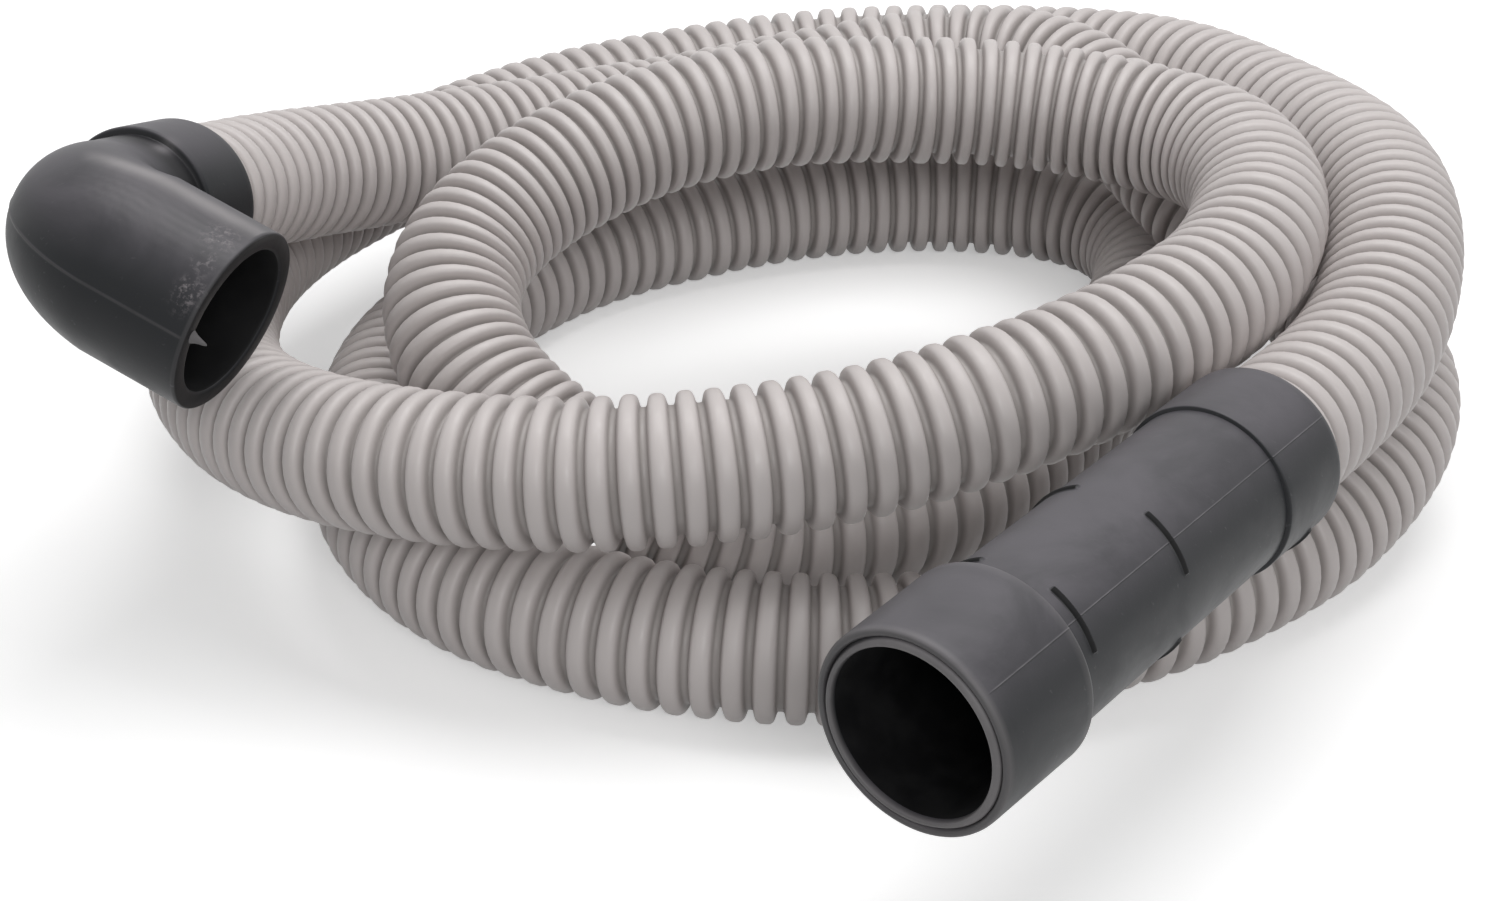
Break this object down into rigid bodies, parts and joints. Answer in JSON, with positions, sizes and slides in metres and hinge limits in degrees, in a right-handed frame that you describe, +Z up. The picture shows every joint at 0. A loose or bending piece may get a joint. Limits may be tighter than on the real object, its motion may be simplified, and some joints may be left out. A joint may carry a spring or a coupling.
{
  "type": "vacuum hose",
  "caption": "Long ribbed vacuum hose lying in loose loops, with a straight turning cuff and a right-angle turning cuff at its ends.",
  "frame": {"origin": "on the floor, under the middle of the whole object's bounding box", "axes": "+Z up; the straight cuff's mouth points towards -X and -Y; the elbow is at -X"},
  "size_m": [0.4836, 0.5683, 0.1661],
  "materials": {
    "hose_plastic": "satin, light warm grey",
    "sleeve_plastic": "matte black",
    "cuff_rubber": "satin charcoal",
    "lip_rubber": "matte charcoal"
  },
  "bodies": {
    "hose_body": {"hose": "hose_plastic", "straight_end_sleeve": "sleeve_plastic", "elbow_end_sleeve": "sleeve_plastic"},
    "straight_cuff_body": {"straight_cuff": "cuff_rubber", "cup_lip_ring": "lip_rubber"},
    "elbow_cuff_body": {"elbow_cuff": "cuff_rubber"}
  },
  "joints": [
    {"name": "straight_cuff_turn", "type": "hinge", "parent": "hose_body", "child": "straight_cuff_body", "pos_m": [0.1185, -0.155, 0.0835], "axis": [-0.6247, -0.7809, 0], "continuous": true},
    {"name": "elbow_cuff_turn", "type": "hinge", "parent": "hose_body", "child": "elbow_cuff_body", "pos_m": [-0.2095, -0.047, 0.131], "axis": [-0.2726, -0.9227, 0.2726], "continuous": true}
  ]
}
